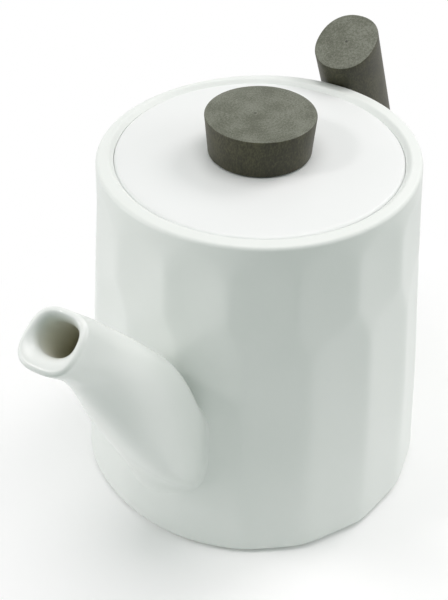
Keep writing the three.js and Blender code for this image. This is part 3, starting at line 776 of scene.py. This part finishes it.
def make_arm():
    turn = math.pi / 2 + GRIP_LEAN
    bend_end_height = ARM_HEIGHT + ARM_BEND * (1 - math.cos(turn))
    distance = (GRIP_END.z - bend_end_height) / -grip_down[2]
    bend_centre_x = on_grip(distance)[0] + ARM_BEND * math.sin(turn)
    wall_x = -float(cone_radius(ARM_HEIGHT))
    rings = []
    for x in (wall_x + JOINT_SINK, wall_x):
        rings.append(arm_ring((x, 0, ARM_HEIGHT), math.pi, 0, -ARM_ROOT_FLARE))
    for step in range(ARM_STEPS + 1):
        share = step / ARM_STEPS
        angle = turn * share
        x = bend_centre_x - ARM_BEND * math.sin(angle)
        z = ARM_HEIGHT + ARM_BEND * (1 - math.cos(angle))
        grown = ARM_BEND_SHARE + (1 - ARM_BEND_SHARE) * share
        rings.append(arm_ring((x, 0, z), math.pi - angle, grown, 0))
    upwards = math.pi / 2 - GRIP_LEAN
    for angle in quarter_turn(SMALL_EDGE_STEPS):
        centre = on_grip(GRIP_LENGTH + SOCKET_GAP + SOCKET_EDGE * (1 - math.sin(angle)))
        halves = grip_halves(SOCKET_EDGE * (1 - math.cos(angle)))
        rings.append(section_ring(centre, upwards, *halves, GRIP_OVAL_POWER, ARM_SIDES))
    arm = skinned("grip_arm_shell", rings)
    cut_away(arm, peg_hole())
    return arm


def peg_hole():
    middle = on_grip(GRIP_LENGTH + TENON_LENGTH / 2)
    angles = full_turn(PEG_HOLE_SIDES)
    rings = []
    for y in (GRIP_WIDTH, -GRIP_WIDTH):
        across = PEG_HOLE_RADIUS * np.cos(angles)
        tall = PEG_HOLE_RADIUS * np.sin(angles)
        rings.append(middle + np.stack([across, y + 0 * angles, tall], 1))
    return skinned("peg_hole", rings)


# Strainer

strainer_seat = float(inner_radius(ROOT_HEIGHT))


def dome_rings(inset):
    rings = []
    for angle in np.linspace(STRAINER_POLE, math.pi / 2 + STRAINER_SINK, STRAINER_RINGS):
        out = math.sin(angle)
        centre = (strainer_seat - (STRAINER_BULGE - inset) * math.cos(angle), 0, ROOT_HEIGHT)
        half_width = (STRAINER_HALF_WIDTH - inset) * out
        half_height = (STRAINER_HALF_HEIGHT - inset) * out
        rings.append(section_ring(centre, 0, half_width, half_height, 2, STRAINER_SIDES))
    return rings


def strainer_holes():
    """All the holes as one cutter of separate rods along X."""
    rows = int(STRAINER_HALF_HEIGHT // STRAINER_HOLE_PITCH)
    columns = int(STRAINER_HALF_WIDTH // STRAINER_HOLE_PITCH)
    sides = STRAINER_HOLE_SIDES
    points = []
    faces = []
    for row in range(-rows, rows + 1):
        for column in range(-columns, columns + 1):
            y = (column + (0.5 if row % 2 else 0)) * STRAINER_HOLE_PITCH
            z = row * STRAINER_HOLE_PITCH * math.sin(math.pi / 3)
            if math.hypot(y / STRAINER_HALF_WIDTH, z / STRAINER_HALF_HEIGHT) >= STRAINER_PIERCED:
                continue
            first = len(points)
            for x in (strainer_seat - 2 * STRAINER_BULGE, strainer_seat + STRAINER_WALL):
                centre = (x, y, ROOT_HEIGHT + z)
                ring = section_ring(centre, 0, STRAINER_HOLE_RADIUS, STRAINER_HOLE_RADIUS, 2, sides)
                points += ring.tolist()
            for side in range(sides):
                here, after = first + side, first + (side + 1) % sides
                faces.append((here, after, after + sides, here + sides))
            faces.append(tuple(range(first + sides - 1, first - 1, -1)))
            faces.append(tuple(range(first + sides, first + 2 * sides)))
    return mesh_object("strainer_holes", points, faces)


def make_strainer():
    dome = skinned("strainer_dome", dome_rings(0) + dome_rings(STRAINER_WALL)[::-1])
    cut_away(dome, strainer_holes())
    return dome


# Materials


def material(name, colour, roughness):
    made = bpy.data.materials.new(name)
    made.use_nodes = True
    tree = made.node_tree
    shader = tree.nodes["Principled BSDF"]
    shader.inputs["Base Color"].default_value = (*colour, 1)
    shader.inputs["Roughness"].default_value = roughness
    return made, tree, shader


def link(tree, from_node, output, to_node, socket):
    tree.links.new(from_node.outputs[output], to_node.inputs[socket])


def noise_node(tree, source, scale, detail=2, roughness=0.5, stretch=(1, 1, 1), output="Object"):
    mapping = tree.nodes.new("ShaderNodeMapping")
    mapping.inputs["Scale"].default_value = stretch
    noise = tree.nodes.new("ShaderNodeTexNoise")
    noise.inputs["Scale"].default_value = scale
    noise.inputs["Detail"].default_value = detail
    noise.inputs["Roughness"].default_value = roughness
    link(tree, source, output, mapping, "Vector")
    link(tree, mapping, "Vector", noise, "Vector")
    return noise


def math_node(tree, operation, first, output, second):
    """A Math node on one output, with a number or another node's first output as its second input."""
    node = tree.nodes.new("ShaderNodeMath")
    node.operation = operation
    link(tree, first, output, node, 0)
    if isinstance(second, (int, float)):
        node.inputs[1].default_value = second
    else:
        tree.links.new(second.outputs[0], node.inputs[1])
    return node


def mixed(tree, share, first, second):
    """A colour between two nodes' colours, by the share node's value."""
    mix = tree.nodes.new("ShaderNodeMix")
    mix.data_type = "RGBA"
    colour_a, colour_b = [socket for socket in mix.inputs if socket.type == "RGBA"]
    tree.links.new(share.outputs[0], mix.inputs[0])
    tree.links.new(first.outputs[0], colour_a)
    tree.links.new(second.outputs[0], colour_b)
    return next(socket for socket in mix.outputs if socket.type == "RGBA")


def ramp_node(tree, source, output, stops):
    ramp = tree.nodes.new("ShaderNodeValToRGB")
    elements = ramp.color_ramp.elements
    while len(elements) < len(stops):
        elements.new(0.5)
    for element, (place, colour) in zip(elements, stops):
        element.position = place
        element.color = (*colour, 1)
    link(tree, source, output, ramp, "Fac")
    return ramp


def bump_node(tree, height, output, shader, strength, distance):
    bump = tree.nodes.new("ShaderNodeBump")
    bump.inputs["Strength"].default_value = strength
    bump.inputs["Distance"].default_value = distance
    link(tree, height, output, bump, "Height")
    link(tree, bump, "Normal", shader, "Normal")


def porcelain(name, light, dark, roughness, grain, coat=0):
    """Glaze with a slow change of tone, a fine speckle and a faintly uneven surface."""
    made, tree, shader = material(name, light, roughness)
    shader.inputs["Coat Weight"].default_value = coat
    shader.inputs["Coat Roughness"].default_value = COAT_ROUGHNESS
    place = tree.nodes.new("ShaderNodeTexCoord")
    tone = noise_node(tree, place, scale=22, detail=3)
    colours = ramp_node(tree, tone, "Fac", [(0.35, dark), (0.65, light)])
    link(tree, colours, "Color", shader, "Base Color")
    speckle = noise_node(tree, place, scale=1500, detail=2)
    bump_node(tree, speckle, "Fac", shader, strength=grain, distance=SPECKLE_RELIEF)
    return made, tree, shader, place, colours


def wall_porcelain():
    """Satin glaze that stops above the bare underside."""
    made, tree, shader, place, colours = porcelain("wall_glaze", *GLAZE, GLAZED_ROUGHNESS, grain=0.15)
    height = tree.nodes.new("ShaderNodeSeparateXYZ")
    link(tree, place, "Object", height, "Vector")
    edge = noise_node(tree, place, scale=180, detail=2)
    wander = math_node(tree, "MULTIPLY", edge, "Fac", GLAZE_LINE_WANDER)
    line = math_node(tree, "ADD", wander, "Value", GLAZE_LINE)
    glazed = math_node(tree, "GREATER_THAN", height, "Z", line)
    grit = noise_node(tree, place, scale=2500, detail=3)
    bare = ramp_node(tree, grit, "Fac", [(0.3, BARE_CLAY[0]), (0.7, BARE_CLAY[1])])
    tree.links.new(mixed(tree, glazed, bare, colours), shader.inputs["Base Color"])
    smoother = math_node(tree, "MULTIPLY", glazed, "Value", GLAZED_ROUGHNESS - BARE_ROUGHNESS)
    roughness = math_node(tree, "ADD", smoother, "Value", BARE_ROUGHNESS)
    link(tree, roughness, "Value", shader, "Roughness")
    return made


def bore_porcelain():
    """The spout's inside, which turns olive and darker inwards from the lip: painted shade for the depth
    of the bore, with a tea tint in its glaze.
    """
    made, tree, shader, place, _ = porcelain("bore_glaze", *GLAZE, **SPOUT_SHINE)
    normal = spout_normal(spout_stations(bore=False), 1)
    along = tree.nodes.new("ShaderNodeVectorMath")
    along.operation = "DOT_PRODUCT"
    along.inputs[1].default_value = tuple(normal)
    link(tree, place, "Object", along, 0)
    height = math_node(tree, "SUBTRACT", along, "Value", float(mouth_centre @ normal))
    depth = math_node(tree, "DIVIDE", height, "Value", -STAIN_AND_SHADE_REACH)
    cloud = noise_node(tree, place, scale=160, detail=3)
    uneven = math_node(tree, "MULTIPLY", cloud, "Fac", 0.3)
    stain_and_shade_depth = math_node(tree, "ADD", depth, "Value", uneven)
    # painted shade and a tea tint: paler, then olive, deeper into the bore
    stops = [(0.18, GLAZE[0]), (0.4, PALE_STAIN_AND_SHADE), (1.0, DEEP_STAIN_AND_SHADE)]
    stain_and_shade = ramp_node(tree, stain_and_shade_depth, "Value", stops)
    link(tree, stain_and_shade, "Color", shader, "Base Color")
    return made


def wood(name, lean, pith, dark, middle, light, ring_strength, sheen):
    """Dark smoked wood with faint rings about the pith, and fibres and pores along the piece."""
    made, tree, shader = material(name, middle, WOOD_ROUGHNESS)
    shader.inputs["Specular IOR Level"].default_value = sheen
    place = tree.nodes.new("ShaderNodeTexCoord")
    upright = tree.nodes.new("ShaderNodeMapping")
    upright.inputs["Rotation"].default_value = (0, -lean, 0)
    upright.inputs["Location"].default_value = (-pith[0], -pith[1], 0)
    link(tree, place, "Object", upright, "Vector")
    fibres = noise_node(tree, upright, **FIBRES, output="Vector")
    patches = noise_node(tree, upright, **PATCHES, output="Vector")
    rings = tree.nodes.new("ShaderNodeTexWave")
    rings.wave_type = "RINGS"
    rings.rings_direction = "Z"
    for socket, value in YEAR_RINGS.items():
        rings.inputs[socket].default_value = value
    link(tree, upright, "Vector", rings, "Vector")
    ring_share = math_node(tree, "MULTIPLY", rings, "Fac", ring_strength)
    patch_share = math_node(tree, "MULTIPLY", patches, "Fac", PATCH_SHARE)
    both = math_node(tree, "ADD", ring_share, "Value", patch_share)
    fibre_share = math_node(tree, "MULTIPLY", fibres, "Fac", 1 - PATCH_SHARE)
    tone = math_node(tree, "ADD", both, "Value", fibre_share)
    colours = ramp_node(tree, tone, "Value", [(0.4, dark), (0.5, middle), (0.62, light)])
    flat = tree.nodes.new("ShaderNodeVectorMath")
    flat.operation = "MULTIPLY"
    flat.inputs[1].default_value = (1, 1, 0)
    link(tree, upright, "Vector", flat, 0)
    off_pith = tree.nodes.new("ShaderNodeVectorMath")
    off_pith.operation = "LENGTH"
    link(tree, flat, "Vector", off_pith, 0)
    in_pith = math_node(tree, "LESS_THAN", off_pith, "Value", PITH_RADIUS)
    heart = ramp_node(tree, fibres, "Fac", [(0.3, HEARTWOOD[0]), (0.8, HEARTWOOD[1])])
    tree.links.new(mixed(tree, in_pith, colours, heart), shader.inputs["Base Color"])
    bump_node(tree, tone, "Value", shader, strength=0.3, distance=GRAIN_RELIEF)
    return made


def plain(name, colour, roughness, metallic=0):
    made, tree, shader = material(name, colour, roughness)
    shader.inputs["Metallic"].default_value = metallic
    place = tree.nodes.new("ShaderNodeTexCoord")
    fine = noise_node(tree, place, scale=700, detail=3)
    darker = tuple(PLAIN_DARKEST * value for value in colour)
    colours = ramp_node(tree, fine, "Fac", [(0.35, darker), (0.65, colour)])
    link(tree, colours, "Color", shader, "Base Color")
    bump_node(tree, fine, "Fac", shader, strength=0.1, distance=PLAIN_RELIEF)
    return made


def dress(piece, body, slot, finish, *nodes):
    """Gives a piece its finish, or its finishes by face index, and what it rides on and replaces."""
    finishes = finish if isinstance(finish, tuple) else (finish,)
    for each in finishes:
        piece.data.materials.append(each)
    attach(piece, body)
    if nodes:
        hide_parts(*nodes)


grip_pith = (GRIP_END.x * math.cos(GRIP_LEAN) - GRIP_END.z * math.sin(GRIP_LEAN), 0)
wall_glaze = wall_porcelain()
spout_glaze = porcelain("spout_glaze", *GLAZE, **SPOUT_SHINE)[0]
bore_glaze = bore_porcelain()
lid_glaze = porcelain("lid_glaze", *LID_GLAZE, GLAZED_ROUGHNESS, grain=0.1)[0]
# Lighter wood on the end faces and darker on the sides: partly the grain, partly painted light and painted
# shade
knob_side_shaded = wood("knob_side_grain_and_painted_shade", 0, KNOB_PITH, *SIDE_GRAIN_AND_PAINTED_SHADE, **SIDE_LOOK)
knob_end_lit = wood("knob_end_grain_and_painted_light", 0, KNOB_PITH, *END_GRAIN_AND_PAINTED_LIGHT, **END_LOOK)
grip_side_shaded = wood("grip_side_grain_and_painted_shade", GRIP_LEAN, grip_pith, *SIDE_GRAIN_AND_PAINTED_SHADE, **SIDE_LOOK)
grip_end_lit = wood("grip_end_grain_and_painted_light", GRIP_LEAN, grip_pith, *END_GRAIN_AND_PAINTED_LIGHT, **END_LOOK)
peg_finish = plain("peg_bamboo", BAMBOO, roughness=0.6)
brass_finish = plain("screw_brass", BRASS, roughness=0.3, metallic=1)
washer_finish = plain("washer_silicone", SILICONE, roughness=0.6)

dress(make_pot_wall(), "pot", "porcelain", wall_glaze, "pot_body", "pot_floor")
dress(make_spout(), "pot", "spout_porcelain", (spout_glaze, bore_glaze), "spout")
dress(make_strainer(), "pot", "porcelain", wall_glaze, "strainer")
dress(make_arm(), "pot", "porcelain", wall_glaze, "grip_arm")
dress(make_grip(), "pot", "dark_wood", (grip_side_shaded, grip_end_lit), "grip_rod")
dress(make_lid(), "lid", "lid_porcelain", lid_glaze, "lid")
dress(make_knob(), "lid", "dark_wood", (knob_side_shaded, knob_end_lit), "lid_knob")
for node, finish in (
    ("grip_peg", peg_finish),
    ("knob_screw", brass_finish),
    ("knob_washer", washer_finish),
):
    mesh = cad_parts[node].data
    mesh.materials.clear()
    mesh.materials.append(finish)


# Stage


def seen_directly(tree):
    """1 for what the camera, a reflection or a view through glass sees, and 0 for the light it gives."""
    paths = tree.nodes.new("ShaderNodeLightPath")
    seen = math_node(tree, "MAXIMUM", paths, "Is Camera Ray", 0)
    link(tree, paths, "Is Glossy Ray", seen, 1)
    seen = math_node(tree, "MAXIMUM", seen, "Value", 0)
    link(tree, paths, "Is Transmission Ray", seen, 1)
    return seen


def make_floor():
    angles = full_turn(FLOOR_SIDES)
    edge = np.stack([FLOOR_REACH * np.cos(angles), FLOOR_REACH * np.sin(angles), 0 * angles], 1)
    floor = mesh_object("floor", edge.tolist(), [tuple(range(len(angles)))])
    made = bpy.data.materials.new("floor_paper")
    made.use_nodes = True
    tree = made.node_tree
    tree.nodes.clear()
    output = tree.nodes.new("ShaderNodeOutputMaterial")
    paper = tree.nodes.new("ShaderNodeBsdfDiffuse")
    paper.inputs["Color"].default_value = (*FLOOR_COLOUR, 1)
    glow = tree.nodes.new("ShaderNodeEmission")
    glow.inputs["Strength"].default_value = 1
    place = tree.nodes.new("ShaderNodeTexCoord")
    far = tree.nodes.new("ShaderNodeVectorMath")
    far.operation = "LENGTH"
    link(tree, place, "Object", far, 0)
    away = math_node(tree, "DIVIDE", far, "Value", FLOOR_REACH)
    stops = [(FLOOR_GLOW_FROM, (FLOOR_GLOW,) * 3), (FLOOR_GLOW_TO, (1, 1, 1))]
    whiter = ramp_node(tree, away, "Value", stops)
    share = math_node(tree, "MULTIPLY", whiter, "Color", seen_directly(tree))
    mix = tree.nodes.new("ShaderNodeMixShader")
    link(tree, share, "Value", mix, "Fac")
    link(tree, paper, "BSDF", mix, 1)
    link(tree, glow, "Emission", mix, 2)
    link(tree, mix, "Shader", output, "Surface")
    floor.data.materials.append(made)
    floor.location = camera_side(FLOOR_SHIFT, 0, 0)


def make_world():
    world = bpy.data.worlds.new("studio")
    bpy.context.scene.world = world
    world.use_nodes = True
    tree = world.node_tree
    tree.nodes.clear()
    output = tree.nodes.new("ShaderNodeOutputWorld")
    room = tree.nodes.new("ShaderNodeBackground")
    room.inputs["Color"].default_value = (*ROOM_COLOUR, 1)
    room.inputs["Strength"].default_value = ROOM_LIGHT
    white = tree.nodes.new("ShaderNodeBackground")
    white.inputs["Color"].default_value = (1, 1, 1, 1)
    white.inputs["Strength"].default_value = 1
    mix = tree.nodes.new("ShaderNodeMixShader")
    link(tree, seen_directly(tree), "Value", mix, "Fac")
    link(tree, room, "Background", mix, 1)
    link(tree, white, "Background", mix, 2)
    link(tree, mix, "Shader", output, "Surface")


def area_light(name, place, size, power):
    data = bpy.data.lights.new(name, "AREA")
    data.shape = "DISK"
    data.size = size
    data.energy = power
    data.color = LAMP_COLOUR
    lamp = bpy.data.objects.new(name, data)
    bpy.context.scene.collection.objects.link(lamp)
    lamp.location = place
    lamp.rotation_euler = (Vector(LAMP_AIM) - place).to_track_quat("-Z", "Y").to_euler()


def camera_side(right, towards, up):
    """A place given as seen by the camera: right, towards the camera, and up from the pot's middle."""
    near = Vector((CAMERA_PLACE.x, CAMERA_PLACE.y, 0)).normalized()
    side = Vector((-near.y, near.x, 0))
    return side * right + near * towards + Vector((0, 0, up))


def make_camera():
    data = bpy.data.cameras.new("camera")
    data.sensor_width = SENSOR
    data.lens = FOCAL_PIXELS * SENSOR / PHOTO_HEIGHT
    data.clip_start = CAMERA_CLIP
    camera = bpy.data.objects.new("camera", data)
    bpy.context.scene.collection.objects.link(camera)
    camera.location = CAMERA_PLACE
    facing = (CAMERA_AIM - CAMERA_PLACE).to_track_quat("-Z", "Y")
    rolled = facing.to_matrix() @ Matrix.Rotation(CAMERA_ROLL, 3, "Z")
    camera.rotation_euler = rolled.to_euler()
    bpy.context.scene.camera = camera


make_floor()
make_world()
for name, place, size, power in LAMPS:
    area_light(name, camera_side(*place), size, power)
make_camera()
bpy.context.scene.view_settings.view_transform = "Standard"
